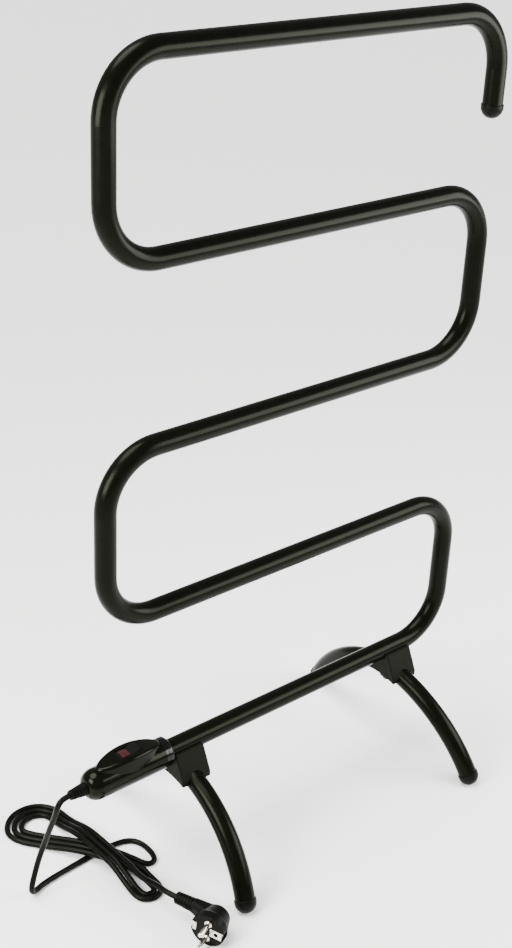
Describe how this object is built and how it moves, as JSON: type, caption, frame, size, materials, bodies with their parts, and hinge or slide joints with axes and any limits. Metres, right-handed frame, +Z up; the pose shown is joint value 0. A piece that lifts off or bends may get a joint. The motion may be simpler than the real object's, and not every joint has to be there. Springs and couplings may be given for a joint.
{
  "type": "heated towel rail",
  "caption": "Free-standing serpentine heated towel rail of bent black tube on two arched feet, with a rocker switch housing on its lowest rail, mains cord and angled plug.",
  "frame": {"origin": "on the floor under the middle of the rail's own box, cord left out", "axes": "+X along the rails away from the switch housing, -Y the front seen in the picture, +Z up"},
  "size_m": [0.5872, 0.3082, 0.875],
  "materials": {
    "rail_black": "satin black powder coat",
    "cap_black": "matte black moulded polyethylene",
    "bracket_grey": "fine matte moulded nylon, charcoal",
    "bolt_black": "black zinc",
    "steel": "zinc plated",
    "housing_black": "satin to glossy black ABS",
    "bush_black": "matte black nylon",
    "rocker_black": "glossy black polycarbonate",
    "lens_red": "translucent red polycarbonate",
    "lamp_glass": "clear neon lamp",
    "brass": "plain brass",
    "sleeve_nylon": "natural nylon",
    "wire_live": "brown insulation",
    "wire_neutral": "blue insulation",
    "wire_earth": "green and yellow insulation",
    "heater_rubber": "silicone rubber",
    "relief_rubber": "matte black soft vinyl",
    "cord_rubber": "satin black vinyl",
    "plug_black": "matte black moulded vinyl",
    "nickel": "nickel plated brass"
  },
  "bodies": {
    "frame": {"blade_sleeves": "sleeve_nylon", "cable_end_seal": "heater_rubber", "clamp_screws": "steel", "cord_clamp": "sleeve_nylon", "cord_inside": "cord_rubber", "earth_band": "steel", "earth_wire": "wire_earth", "heating_cable": "heater_rubber", "hook_cap": "cap_black", "housing_lower": "housing_black", "housing_screws": "steel", "housing_upper": "housing_black", "indicator_lamp": "lamp_glass", "left_back_foot_cap": "cap_black", "left_foot_bolt": "bolt_black", "left_foot_bracket": "bracket_grey", "left_front_foot_cap": "cap_black", "left_leg_tube": "rail_black", "left_rivet_nut": "steel", "left_saddle_washer": "bolt_black", "live_wires": "wire_live", "mains_cord_hank": "cord_rubber", "mains_cord_lead": "cord_rubber", "mains_cord_tail": "cord_rubber", "neutral_wires": "wire_neutral", "plug_body": "plug_black", "plug_core": "plug_black", "plug_earth_clips": "nickel", "plug_pins": "nickel", "plug_relief": "relief_rubber", "rail_tube": "rail_black", "right_back_foot_cap": "cap_black", "right_foot_bolt": "bolt_black", "right_foot_bracket": "bracket_grey", "right_front_foot_cap": "cap_black", "right_leg_tube": "rail_black", "right_rivet_nut": "steel", "right_saddle_washer": "bolt_black", "splice_sleeve": "heater_rubber", "strain_relief": "relief_rubber", "switch_blades": "brass", "switch_body": "bush_black", "switch_frame": "housing_black", "terminal_block": "sleeve_nylon", "terminal_screws": "brass", "thermal_fuse": "sleeve_nylon", "tube_bush": "bush_black", "tube_collar": "housing_black"},
    "rocker_switch": {"rocker": "rocker_black", "rocker_lens": "lens_red"}
  },
  "joints": [
    {"name": "rocker_tilt", "type": "hinge", "parent": "frame", "child": "rocker_switch", "pos_m": [-0.21, 0, 0.148], "axis": [0, 1, 0], "range_deg": [0, 15]}
  ]
}
